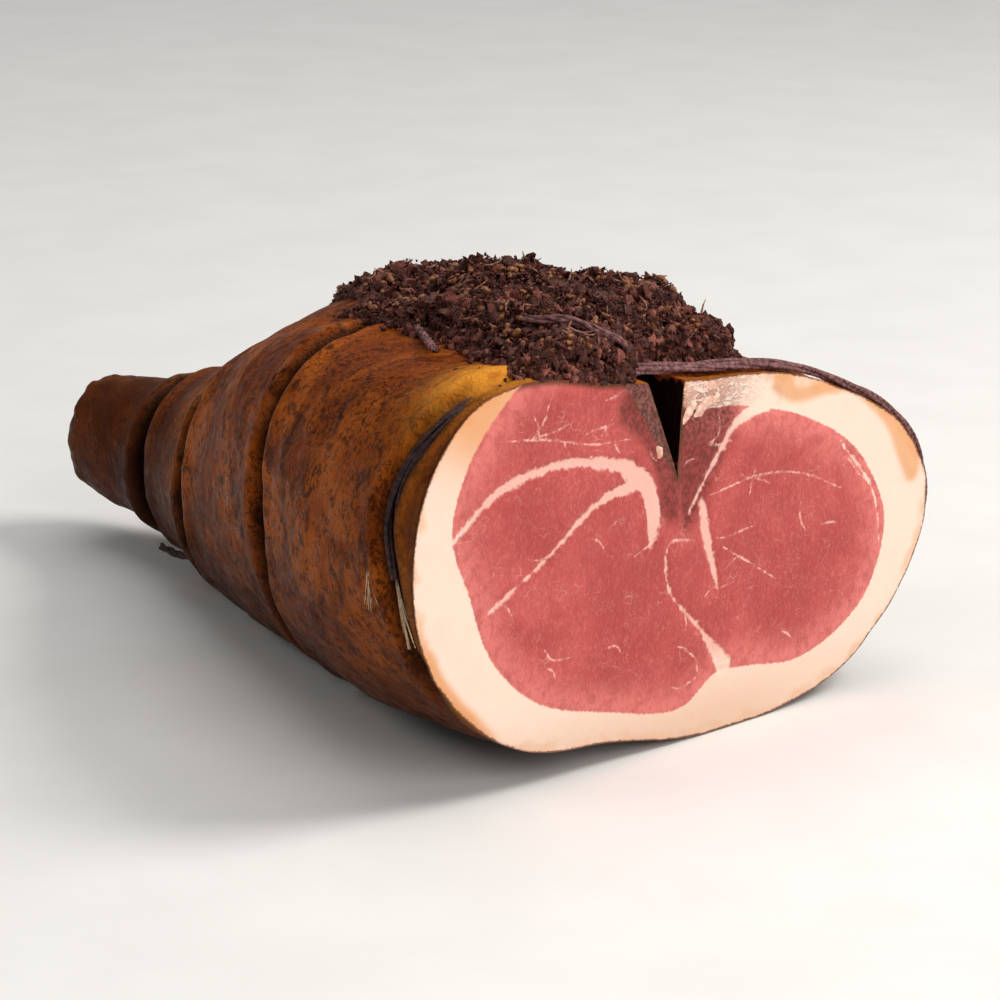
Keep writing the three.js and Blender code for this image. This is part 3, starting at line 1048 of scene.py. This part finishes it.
    def mesh(self) -> Shell:
        """Builds rind and cut face as one closed skin.

        Returns:
            The skin with its named values.
        """
        x, angle = self.places(), self.turns()
        points, values = self.outside(x[:, None], angle[None, :])
        rings, around = len(x), len(angle)
        rim = points[-1, :, 1:]
        added, triangles = self.face(rim)
        spots = np.vstack([rim, added])
        shown = self.pattern.values(spots, rim)
        relief = 0.5 * ramp(shown["lean"], 0, 14) - 0.45 * (1 - ramp(shown["seam"], -0.5, 1.2))
        relief -= 0.9 * ramp(shown["dark"], -3, 2) - 0.3 * grain(np.c_[spots, spots[:, :1] * 0], 22, 3, 9)
        relief *= ramp(shown["edge"], 0, 2.5)
        ring = points.reshape(-1, 3)
        cut = np.column_stack([self.shape.cut_x + relief[around:], added])
        tip, centre = points[0], points[0].mean(0)
        shrunk = (0.86, 0.68, 0.48, 0.28, 0.1)
        caps = np.vstack([centre + (tip - centre) * s + (-2.2 * (1 - s * s), 0, 0) for s in shrunk])
        caps[:, 0] += 0.9 * grain(caps, 7, 2, 10)
        start_cut, start_cap = len(ring), len(ring) + len(cut)
        last = (rings - 1) * around
        faces = []
        for low in range(0, last, around):
            high = low + around
            for i in range(around):
                faces.append((high + i, high + (i + 1) % around, low + (i + 1) % around, low + i))
        starts = [0] + [start_cap + around * k for k in range(5)]
        for a, b in zip(starts[:-1], starts[1:]):
            faces += [(a + i, a + (i + 1) % around, b + (i + 1) % around, b + i) for i in range(around)]
        faces.append(tuple(starts[-1] + i for i in range(around)))
        rind_count = len(faces)
        for face in triangles:
            a, b, c = (spots[i] for i in face)
            if (b[0] - a[0]) * (c[1] - a[1]) - (b[1] - a[1]) * (c[0] - a[0]) < 0:
                face = face[::-1]
            faces.append(tuple(last + i if i < around else start_cut + i - around for i in face))
        total = start_cap + len(caps)
        full = {}
        for key, value in values.items():
            full[key] = np.zeros(total)
            full[key][: len(ring)] = value.ravel()
            full[key][start_cap:] = np.tile(value[0], 5)
        for key, value in shown.items():
            full[key] = np.full(total, 9.0)
            full[key][last : last + around] = value[:around]
            full[key][start_cut:start_cap] = value[around:]
        finish = [0] * rind_count + [1] * (len(faces) - rind_count)
        return Shell(np.vstack([ring, cut, caps]), faces, full, finish)

    def build(self) -> bpy.types.Object:
        """Makes the ham, in its place in the row frame.

        Returns:
            The ham.
        """
        shell = self.mesh()
        low, high = (np.array(corner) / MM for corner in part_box("ham"))
        plain = self.shape.skin(self.places()[:, None], np.arange(0, 360, 5)[None, :]).reshape(-1, 3)
        self.origin = np.round(np.array([
            high[0] - self.shape.cut_x,
            (low[1] + high[1] - plain[:, 1].min() - plain[:, 1].max()) / 2,
            0.0,
        ]), 1)
        obj = shell.object("cut_ham", self.origin)
        for finish in (self.rind, self.meat):
            obj.data.materials.append(finish.material())
        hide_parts("ham")
        return dressed(obj)


def dressed(obj: bpy.types.Object) -> bpy.types.Object:
    """Puts a piece on the frame and reports it.

    Args:
        obj: The piece.

    Returns:
        The same piece.
    """
    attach(obj, "root")
    log.info("%s: %d faces", obj.name, len(obj.data.polygons))
    return obj


@dataclass
class TornEdge:
    """Ragged shreds of fat along the pocket's right lip."""

    shape: HamShape
    origin: Array
    shreds: tuple = (
        ((-3.0, 125, 1.0), (0.5, 129, 1.8), (3, 133, 1.6), (4, 137, 0.6)),
        ((3, 127, 0.8), (7, 130, 2.0), (13, 132.5, 1.8), (17, 131, 0.6)),
        ((1, 137, 0.7), (8, 139, 1.6), (15, 138.5, 1.7), (20, 140, 0.6)),
        ((-17, 122, 0.5), (-14.5, 119, 1.3), (-13.5, 113, 0.8)),
    )
    flat: float = 0.3

    def build(self) -> bpy.types.Object:
        """Makes the shreds.

        Returns:
            The shreds.
        """
        rng = np.random.default_rng(60)
        parts = []
        for row in self.shreds:
            line = smooth_line([(self.shape.cut_x - 0.5, y, z, w) for y, z, w in row], 0.5)
            path = line[:, :3] + rng.normal(0, 0.16, (len(line), 3)).cumsum(axis=0) * (0.2, 0.7, 0.7)
            taper = np.sin(np.linspace(0.25, pi - 0.2, len(line))) ** 0.6
            wide = line[:, 3] * (1 + 0.35 * grain(path, 2.4, 2, 61)) * taper
            shred = tube(path, np.maximum(wide, 0.15), 14)
            middle = np.repeat(path[:, 0], 14)
            shred.points[:, 0] = middle + (shred.points[:, 0] - middle) * self.flat
            shred.points += 0.5 * grain(shred.points, 2.2, 3, 62)[:, None] * (0.6, 1, 1)
            parts.append(shred)
        obj = Shell.joined(parts).object("torn_fat", self.origin, 60)
        obj.data.materials.append(finish_of(Stain.TORN_FAT))
        return dressed(obj)


@dataclass
class Twine:
    """Cords of twisted yarns, with the ends that were cut or torn frayed open."""

    shape: HamShape
    origin: Array
    radius: float = 1.7
    yarns: int = 3
    pitch: float = 4.6
    rise: float = -2.6

    def twisted(self, route: Array, darkness: Optional[Array] = None, seed: int = 0,
                lay: float = 21.0) -> Shell:
        """Twists yarns round a route.

        Args:
            route: Points along the middle of the cord.
            darkness: How dark the cord is at each point, from 0 to 1.
            seed: Picks how the yarns vary.
            lay: Length along the cord in which its yarns turn once.

        Returns:
            The yarns as one shell.
        """
        radius = self.radius
        marks = np.r_[0, np.cumsum(np.linalg.norm(np.diff(route, axis=0), axis=1))]
        darkness = np.zeros(len(route)) if darkness is None else darkness
        line = smooth_line(route, 0.9)
        reach = np.r_[0, np.cumsum(np.linalg.norm(np.diff(line, axis=0), axis=1))]
        along = np.gradient(line, axis=0)
        along /= np.linalg.norm(along, axis=1)[:, None]
        side = np.cross(along, (0.31, 0.22, 0.92))
        side /= np.linalg.norm(side, axis=1)[:, None]
        up = np.cross(along, side)
        rng = np.random.default_rng(seed)
        yarns = []
        for k in range(self.yarns):
            wobble = 0.4 * np.interp(reach, np.linspace(0, reach[-1], 14), rng.normal(size=14))
            turn = 2 * pi * (reach / lay + k / self.yarns) + wobble
            path = line + 0.5 * radius * (np.cos(turn)[:, None] * side + np.sin(turn)[:, None] * up)
            uneven = np.interp(reach, np.linspace(0, reach[-1], 30), rng.normal(size=30))
            thick = radius * (0.56 + 0.05 * uneven)
            thick = thick * (1 - 0.5 * bell(reach - reach[-1], 1.5))
            yarns.append(tube(path, thick, 6, 0.35))
            yarns[-1].values["tint"] = np.repeat(np.interp(reach, marks, darkness), 6)
        return Shell.joined(yarns)

    def frayed(self, start: Array, heading: Array, normal: Array, length: float, seed: int) -> Shell:
        """Spreads loose fibres from a torn end.

        Args:
            start: Where the cord ends.
            heading: Direction that the cord had.
            normal: Direction away from the ham.
            length: Length of the longest fibres.
            seed: Picks how they lie.

        Returns:
            The fibres as one shell.
        """
        rng = np.random.default_rng(seed)
        heading = heading / np.linalg.norm(heading)
        side = np.cross(heading, normal)
        fibres = []
        for k in range(16):
            spread = rng.normal(0, 0.13) + (k - 7.5) * 0.018
            share = np.linspace(0, 1, 9)[:, None]
            far = length * rng.uniform(0.5, 1)
            path = start + heading * far * share + side * far * spread * share**1.5
            path = path + normal * (0.9 * np.sin(share * 2.6 + rng.uniform(0, 1.5)) * rng.uniform(0.2, 1))
            path = path + side * rng.normal(0, 0.35)
            fibres.append(tube(path, rng.uniform(0.26, 0.55) * (1.1 - 0.8 * share[:, 0]), 5))
            fibres[-1].values["tint"] = np.repeat(1 - ramp(share[:, 0], 0, 0.35), 5)
        return Shell.joined(fibres)

    def bedded(self, x: float, angle: Array) -> Array:
        """Gives points of a cord that beds in its fold and clears the table.

        Args:
            x: The fold's place along the ham.
            angle: Angles round it.

        Returns:
            The points.
        """
        along, lift = np.full(np.shape(angle), float(x)), np.full(np.shape(angle), self.rise)
        places = self.shape.lifted(along, angle, lift)
        places[:, 2] = np.maximum(places[:, 2], self.radius + 1)
        return places

    def loop(self, x: float, start: float, end: float) -> Array:
        """Gives the route of a tie round the ham."""
        return self.bedded(x, np.linspace(start, end, 49))

    def strand(self, side: int) -> tuple:
        """Gives the route of one front strand and how dark it is along it.

        Args:
            side: -1 for the rear strand, 1 for the front one.

        Returns:
            The route and the darkness at each point.
        """
        angle = np.linspace(174 - 2 * side, -28, 60)
        place = self.shape.front_place(angle) + side * self.pitch / 2
        place = place + (3.5 + 2.0 * side) * ramp(angle, 158, 174)
        lift = 1.8 - 4.4 * ramp(angle, 100, 135)
        # The strand turns darker from about 110 to 130 degrees round, where it runs down the side into its
        # crease.
        return self.shape.lifted(place, angle, lift), ramp(angle, 108, 130)

    def add(self, name: str, node: str, shells: Sequence[Shell], stains: Sequence[Stain],
            slot_name: str) -> bpy.types.Object:
        """Makes one cord from its shells.

        Args:
            name: The piece's name.
            node: The CAD node it stands for.
            shells: The cord, and its frayed ends if it has them.
            stains: The finish of each shell.
            slot_name: A material slot's name; not used.

        Returns:
            The cord.
        """
        for index, shell in enumerate(shells):
            shell.finish_of = [index] * len(shell.faces)
        obj = Shell.joined(list(shells)).object(name, self.origin, 70)
        for stain in stains:
            obj.data.materials.append(finish_of(stain))
        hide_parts(node)
        return dressed(obj)

    def build(self) -> None:
        """Makes all the cords."""
        for name, x in (("shank_tie", self.shape.ties[0][0]), ("third_tie", self.shape.ties[2][0])):
            shell = self.twisted(self.loop(x, 262, 262 + 362), seed=int(x) + 200)
            self.add(name + "_cord", name, [shell], [Stain.BROWN_TWINE], "brown_cord")
        x = self.shape.ties[1][0]
        tail = np.array([(-44, -29, 19), (-30, -31, 19), (-17, -35, 22), (-7, -40, 27)], float) + (x, 0, 0)
        route = np.vstack([tail, self.bedded(x, np.linspace(215, 215 + 352, 47))])
        shell = self.twisted(route, seed=3)
        self.add("second_tie_cord", "second_tie", [shell], [Stain.BROWN_TWINE], "brown_cord")
        for name, side, seed in (("a", -1, 5), ("b", 1, 6)):
            route, darkness = self.strand(side)
            normal = self.shape.lifted(np.array([186.0]), np.array([192.0]), np.array([1.0]))[0]
            normal = normal - self.shape.lifted(np.array([186.0]), np.array([192.0]), np.array([0.0]))[0]
            normal /= np.linalg.norm(normal)
            ends = [self.frayed(route[0] - normal, route[0] - route[2], normal, 21 - 6 * side, seed)]
            if side < 0:
                places, angles = np.array([171.0, 171.5]), np.array([175.0, 178.0])
                torn = self.shape.lifted(places, angles, np.full(2, 0.9))
                ends.append(self.frayed(torn[0], torn[1] - torn[0], normal, 17, 11))
            self.add(f"front_strand_{name}", f"front_tie_strand_{name}",
                     [self.twisted(route, darkness, seed, 75), Shell.joined(ends)],
                     [Stain.PURPLE_TWINE, Stain.FRAYED], "purple_cord")


def finish_of(stain: Stain) -> bpy.types.Material:
    """Gives the material of a stain, made once."""
    return bpy.data.materials.get(stain.value.name) or stain.value.material()


@dataclass
class Pomace:
    """Heap of pressed grape skins, seeds and stalks, with the cords that lie on it."""

    shape: HamShape
    twine: Twine
    gap: float = 0.4
    thick: float = 21
    sunk: float = 3.4
    clumps: float = 2.3
    skins: int = 4800
    crumbs: int = 8000
    strays: int = 2100
    seeds: int = 420
    stalks: int = 110
    cord_run: tuple = ((0.75, 0.92), (0.82, 0.90), (0.88, 0.86), (0.94, 0.81), (0.975, 0.77))

    def place(self, u: Array, v: Array) -> tuple:
        """Gives the place along and the angle round the ham of a spot on the heap.

        Args:
            u: Share of the way to the front.
            v: Share of the way to the near side.

        Returns:
            Places and angles.
        """
        back = -20 + 64 * ramp(v, 0.45, 1) + 5 * np.sin(9 * v + 1) + 3 * np.sin(23 * v)
        front = 179 + 17 * ramp(v, 0.62, 0.74)
        near = 121 + 14 * ramp(u, 0.35, 1)
        far = 58 - 6 * u + 3.5 * np.sin(13 * u + 1) + 1.8 * np.sin(31 * u)
        return back + (front - back) * u, far + (near - far) * v

    def depth(self, u: Array, v: Array) -> Array:
        """Gives the heap's thickness at a spot.

        Args:
            u: Share of the way to the front.
            v: Share of the way to the near side.

        Returns:
            The thickness.
        """
        slopes = [np.ones_like(u), 0.9 * u + 0.02, 8 * v, 6 * (1 - v), 0.26 + 3.6 * (1 - u)]
        edge = np.minimum.reduce(slopes)
        lumps = 0.1 * np.sin(19 * u + 7 * v) + 0.08 * np.sin(13 * v - 11 * u + 2)
        crown = 0.2 * bell(np.hypot(u - 0.5, v - 0.5), 0.22)
        return 1.6 + self.thick * np.maximum(edge, 0) ** 0.7 * (0.95 + lumps + crown)

    def on(self, u: Array, v: Array, lift: Array, lumpy: float = 0.0) -> Array:
        """Gives points at a height over the heap's top, raised and sunk with its clumps.

        Args:
            u: Share of the way to the front.
            v: Share of the way to the near side.
            lift: Height over the top.
            lumpy: How strongly the clumps show.

        Returns:
            The points.
        """
        x, angle = self.place(u, v)
        tall = self.depth(u, v)
        if lumpy:
            clumps = grain(np.stack([x, angle * 1.3, 0 * x], -1), 11, 2, 23)
            lift = lift + lumpy * clumps * ramp(tall, 2, 9)
        return self.shape.lifted(x, angle, self.gap + tall + lift)

    def bed(self) -> Shell:
        """Builds the dark lumpy body of the heap.

        Returns:
            The body.
        """
        n, m = 150, 84
        u, v = np.meshgrid(np.linspace(0, 1, n), np.linspace(0, 1, m), indexing="ij")
        x, angle = self.place(u, v)
        under = self.shape.lifted(x, angle, np.full(u.shape, self.gap))
        spot = self.on(u, v, np.zeros_like(u))
        rough = 0.6 * grain(spot, 9, 3, 21) + 0.7 * grain(spot, 4, 2, 22)
        inward = np.minimum(self.depth(u, v) - 1.2, self.sunk)
        top = self.on(u, v, -inward + rough * ramp(self.depth(u, v), 1.5, 8), self.clumps)
        points = np.vstack([top.reshape(-1, 3), under.reshape(-1, 3)])

        def at(i: int, j: int, low: int) -> int:
            """Gives the number of a point of the top (0) or the underside (1)."""
            return low * n * m + i * m + j

        faces = []
        for i in range(n - 1):
            for j in range(m - 1):
                quad = [(i, j), (i, j + 1), (i + 1, j + 1), (i + 1, j)]
                faces.append(tuple(at(a, b, 0) for a, b in quad))
                faces.append(tuple(at(a, b, 1) for a, b in quad[::-1]))
        border = [(i, 0) for i in range(n)] + [(n - 1, j) for j in range(1, m)]
        border += [(i, m - 1) for i in range(n - 2, -1, -1)] + [(0, j) for j in range(m - 2, 0, -1)]
        for a, b in zip(border, border[1:] + border[:1]):
            faces.append((at(*a, 0), at(*b, 0), at(*b, 1), at(*a, 1)))
        return Shell(points, faces, {"tint": np.zeros(len(points))})

    @staticmethod
    def ball(level: int) -> tuple:
        """Gives the points and faces of a small round ball.

        Args:
            level: How often the ball is divided.

        Returns:
            Points and faces.
        """
        made = bmesh.new()
        bmesh.ops.create_icosphere(made, subdivisions=level, radius=1)
        made.verts.ensure_lookup_table()
        points = np.array([v.co[:] for v in made.verts])
        faces = np.array([[v.index for v in f.verts] for f in made.faces])
        made.free()
        return points, faces

    def scattered(self, spots: Array, normals: Array, sizes: Array, wrinkle: float, seed: int,
                  tilt: float = 0.5, level: int = 2) -> Shell:
        """Strews lumps over spots.

        Args:
            spots: Middles of the lumps.
            normals: Direction away from what they lie on.
            sizes: Half length, half width and half thickness of each.
            wrinkle: How crumpled they are.
            seed: Picks how they lie.
            tilt: How far they lean off the flat.
            level: How finely each is meshed.

        Returns:
            The lumps as one shell.
        """
        rng = np.random.default_rng(seed)
        ball, faces = self.ball(level)
        count = len(spots)
        up = normals + tilt * rng.normal(size=(count, 3))
        up /= np.linalg.norm(up, axis=1)[:, None]
        along = np.cross(up, rng.normal(size=(count, 3)))
        along /= np.linalg.norm(along, axis=1)[:, None]
        side = np.cross(up, along)
        body = np.repeat(ball[None], count, 0)
        shift = rng.uniform(-50, 50, (count, 1, 3))
        body = body * (1 + wrinkle * grain(body * 2.2 + shift, 1.4, 2, seed)[..., None])
        bend = rng.normal(0, 0.35, (count, 1))
        local = body * sizes[:, None, :]
        local[..., 2] += bend * local[..., 0] ** 2 / sizes[:, None, 0]
        points = spots[:, None] + (
            local[..., :1] * along[:, None] + local[..., 1:2] * side[:, None] + local[..., 2:] * up[:, None]
        )
        all_faces = (faces[None] + np.arange(count)[:, None, None] * len(ball)).reshape(-1, 3)
        shade = rng.uniform(0, 1, count) ** 2.2
        return Shell(points.reshape(-1, 3), [tuple(f) for f in all_faces.tolist()],
                     {"tint": np.repeat(shade, len(ball))})

    def spread(self, count: int, seed: int, low: float, high: float) -> tuple:
        """Picks spots on the heap.

        Args:
            count: How many.
            seed: Picks the spots.
            low: Lowest height over the heap's plain top.
            high: Highest.

        Returns:
            The spots and the directions away from the heap.
        """
        rng = np.random.default_rng(seed)
        u, v = rng.uniform(0, 1, (2, count))
        u = np.where(rng.uniform(size=count) < 0.17, rng.uniform(0.92, 1, count), u)
        v = np.where(rng.uniform(size=count) < 0.10, rng.uniform(0.9, 1, count), v)
        lift = rng.uniform(low, high, count) * ramp(self.depth(u, v), 1.6, 6)
        cord_u, cord_v = np.array(self.cord_run).T
        beside = np.abs(v - np.interp(u, cord_u, cord_v)) * 100
        lift = lift - 2.6 * (1 - ramp(beside, 1.5, 3.0)) * (u > cord_u[0] - 0.01)
        spots = self.on(u, v, lift, self.clumps)
        step = 0.01
        a = self.on(np.clip(u + step, 0, 1), v, lift) - self.on(np.clip(u - step, 0, 1), v, lift)
        b = self.on(u, np.clip(v + step, 0, 1), lift) - self.on(u, np.clip(v - step, 0, 1), lift)
        normals = np.cross(b, a)
        normals /= np.linalg.norm(normals, axis=1)[:, None]
        normals *= np.sign(normals[:, 2:])
        return spots, normals

    def border(self, count: int, seed: int) -> tuple:
        """Picks spots on the steep border of the heap and just outside it.

        Args:
            count: How many.
            seed: Picks the spots.

        Returns:
            The spots and the directions away from the heap.
        """
        rng = np.random.default_rng(seed)
        share, height = rng.uniform(0, 1, (2, count))
        stray = rng.exponential(0.017, count) * (rng.uniform(size=count) < 0.6)
        kind = rng.uniform(size=count)
        front, rear, near = kind < 0.52, kind > 0.88, kind < 0.72
        u = np.where(front, 1.0, np.where(rear, 0.0, share))
        v = np.where(front | rear, share, np.where(near, 1.0, 0.0))
        out_u = np.where(front, 0.3 * stray, np.where(rear, -1.3 * stray, 0))
        out_v = np.where(front | rear, 0, np.where(near, stray, -stray))
        x, angle = self.place(u + out_u, v + out_v)
        x = np.minimum(x, self.shape.cut_x - 1.0)
        tall = self.depth(u, v) * height * np.exp(-stray * 60)
        spots = self.shape.lifted(x, angle, self.gap + 0.6 + tall)
        ahead = np.where(front[:, None], np.array([0.8, 0, 0.6]), 0)
        normals = self.shape.lifted(x, angle, np.ones(count)) - self.shape.lifted(x, angle, np.zeros(count))
        return spots, normals + ahead

    def piece(self, name: str, shell: Shell, stain: Stain) -> bpy.types.Object:
        """Makes a piece of the heap.

        Args:
            name: The piece's name.
            shell: Its points and faces.
            stain: Its finish.

        Returns:
            The piece.
        """
        obj = shell.object(name, self.twine.origin, 34)
        obj.data.materials.append(finish_of(stain))
        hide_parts("grape_pomace")
        return dressed(obj)

    def build(self) -> None:
        """Makes the heap, what it is strewn with and the cords over it."""
        rng = np.random.default_rng(40)
        self.piece("pomace_bed", self.bed(), Stain.POMACE_JUICE)
        for part in range(2):
            count = self.skins // 2
            spots, normals = self.spread(count, 41 + part, -2.4, 1.6)
            long = 0.7 + 3.1 * rng.uniform(0, 1, count) ** 2.3
            wide, thick = rng.uniform(0.35, 0.85, count), rng.uniform(0.15, 0.6, count)
            sizes = np.stack([long, long * wide, long * thick], -1)
            shell = self.scattered(spots, normals, sizes, 0.55, 43 + part, 1.0)
            self.piece(f"pomace_skins_{part + 1}", shell, Stain.POMACE)
        spots, normals = self.spread(self.crumbs, 61, -1.6, 2.2)
        long = rng.uniform(0.35, 1.1, self.crumbs)
        wide, thick = rng.uniform(0.4, 1.0, self.crumbs), rng.uniform(0.3, 0.9, self.crumbs)
        sizes = np.stack([long, long * wide, long * thick], -1)
        self.piece("pomace_crumbs", self.scattered(spots, normals, sizes, 0.45, 62, 1.0, 1), Stain.POMACE)
        spots, normals = self.border(self.strays, 51)
        long = 0.6 + 2.4 * rng.uniform(0, 1, self.strays) ** 1.6
        flat = rng.uniform(0.3, 0.9, (2, self.strays))
        sizes = np.stack([long, long * flat[0], long * flat[1]], -1)
        self.piece("pomace_border", self.scattered(spots, normals, sizes, 0.5, 52, 0.9), Stain.POMACE)
        spots, normals = self.spread(self.seeds, 45, -0.6, 2.0)
        sizes = rng.uniform(0.85, 1.15, (self.seeds, 1)) * (1.9, 1.25, 1.0)
        self.piece("pomace_seeds", self.scattered(spots, normals, sizes, 0.06, 46), Stain.SEED)
        spots, normals = self.spread(self.stalks, 47, 0.4, 2.4)
        long = rng.uniform(2.5, 6.5, self.stalks)
        sizes = np.stack([long, np.full(self.stalks, 0.45), np.full(self.stalks, 0.4)], -1)
        self.piece("pomace_stalks", self.scattered(spots, normals, sizes, 0.12, 48, 0.3), Stain.STALK)
        run = np.array(self.cord_run)
        route = self.on(run[:, 0], run[:, 1], np.array([0.9, 2.9, 3.6, 4.2, 4.2]))
        route = np.vstack([route, self.shape.lifted(np.array([187.0]), np.array([107.0]), np.array([6.0]))])
        shell = self.twine.twisted(route, seed=8, lay=44)
        self.twine.add("lengthwise_cord_yarns", "lengthwise_cord", [shell],
                       [Stain.PURPLE_TWINE], "purple_cord")
        spare = np.array([(94, 122), (106, 125.5), (118, 129), (130, 132.5)])
        route = self.shape.lifted(spare[:, 0], spare[:, 1], np.full(4, 2.8))
        ends = self.twine.frayed(route[-1], route[-1] - route[-2], np.array([0, -0.4, 0.9]), 9, 9)
        self.twine.add("spare_cord_yarns", "spare_cord_end", [self.twine.twisted(route, seed=9), ends],
                       [Stain.PURPLE_TWINE, Stain.PURPLE_TWINE], "purple_cord")


@dataclass
class Studio:
    """Pale floor, soft lights and the camera."""

    azimuth: float = 50.1
    elevation: float = 15.1
    distance: float = 1.543
    lens: float = 133
    aim_from_middle: tuple = (0.044, 0.040, -0.032)

    def floor(self) -> None:
        """Lays the floor."""
        bpy.ops.mesh.primitive_plane_add(size=12, location=(0, 0, -0.0005))
        plane = bpy.context.object
        plane.name = "floor"
        plane.data.materials.append(finish_of(Stain.PLASTER))
        plane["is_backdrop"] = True

    def lamp(self, name: str, place: tuple, size: float, power: float, warmth: tuple, aim: Vector) -> None:
        """Hangs one soft square light.

        Args:
            name: The light's name.
            place: Where it hangs, in metres.
            size: Side of the square.
            power: Power in watts.
            warmth: Its colour.
            aim: What it points at.
        """
        data = bpy.data.lights.new(name, "AREA")
        data.size, data.energy, data.color = size, power, warmth
        light = bpy.data.objects.new(name, data)
        light.location = place
        light.rotation_euler = (aim - Vector(place)).to_track_quat("-Z", "Y").to_euler()
        bpy.context.scene.collection.objects.link(light)

    def build(self) -> None:
        """Sets up floor, lights and camera round the ham."""
        low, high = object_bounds()
        middle = (low + high) / 2
        self.floor()
        self.lamp("key_light", (1.0, 1.2, 1.7), 0.9, 36, (1.0, 0.965, 0.92), middle)
        self.lamp("front_light", (1.9, -0.5, 1.0), 1.1, 17, (1.0, 0.98, 0.95), middle)
        self.lamp("left_light", (-0.6, -1.7, 1.5), 0.8, 6, (1.0, 0.97, 0.92), middle)
        self.lamp("wide_light", (-1.0, 1.0, 4.2), 4.0, 62, (1.0, 1.0, 1.0), Vector((-1.0, 1.0, 0)))
        world = bpy.data.worlds.new("studio_air")
        world.use_nodes = True
        world.node_tree.nodes["Background"].inputs[0].default_value = (0.9, 0.92, 0.95, 1)
        world.node_tree.nodes["Background"].inputs[1].default_value = 0.22
        bpy.context.scene.world = world
        bpy.context.scene.view_settings.view_transform = "Standard"
        data = bpy.data.cameras.new("camera")
        data.lens, data.sensor_width, data.clip_end = self.lens, 36, 60
        camera = bpy.data.objects.new("camera", data)
        a, e = radians(self.azimuth), radians(self.elevation)
        back = Vector((sin(a) * cos(e), -cos(a) * cos(e), sin(e)))
        camera.location = Vector((0, 0, 0.08)) + back * self.distance
        aim = middle + Vector(self.aim_from_middle)
        camera.rotation_euler = (aim - camera.location).to_track_quat("-Z", "Y").to_euler()
        bpy.context.scene.collection.objects.link(camera)
        bpy.context.scene.camera = camera


def main() -> None:
    """Builds the ham, its cords and its dressing, then the studio."""
    logging.basicConfig(level=logging.INFO, format="%(name)s: %(message)s")
    ham = CutHam()
    ham.build()
    TornEdge(ham.shape, ham.origin).build()
    twine = Twine(ham.shape, ham.origin)
    twine.build()
    Pomace(ham.shape, twine).build()
    Studio().build()


if __name__ == "__main__":
    main()
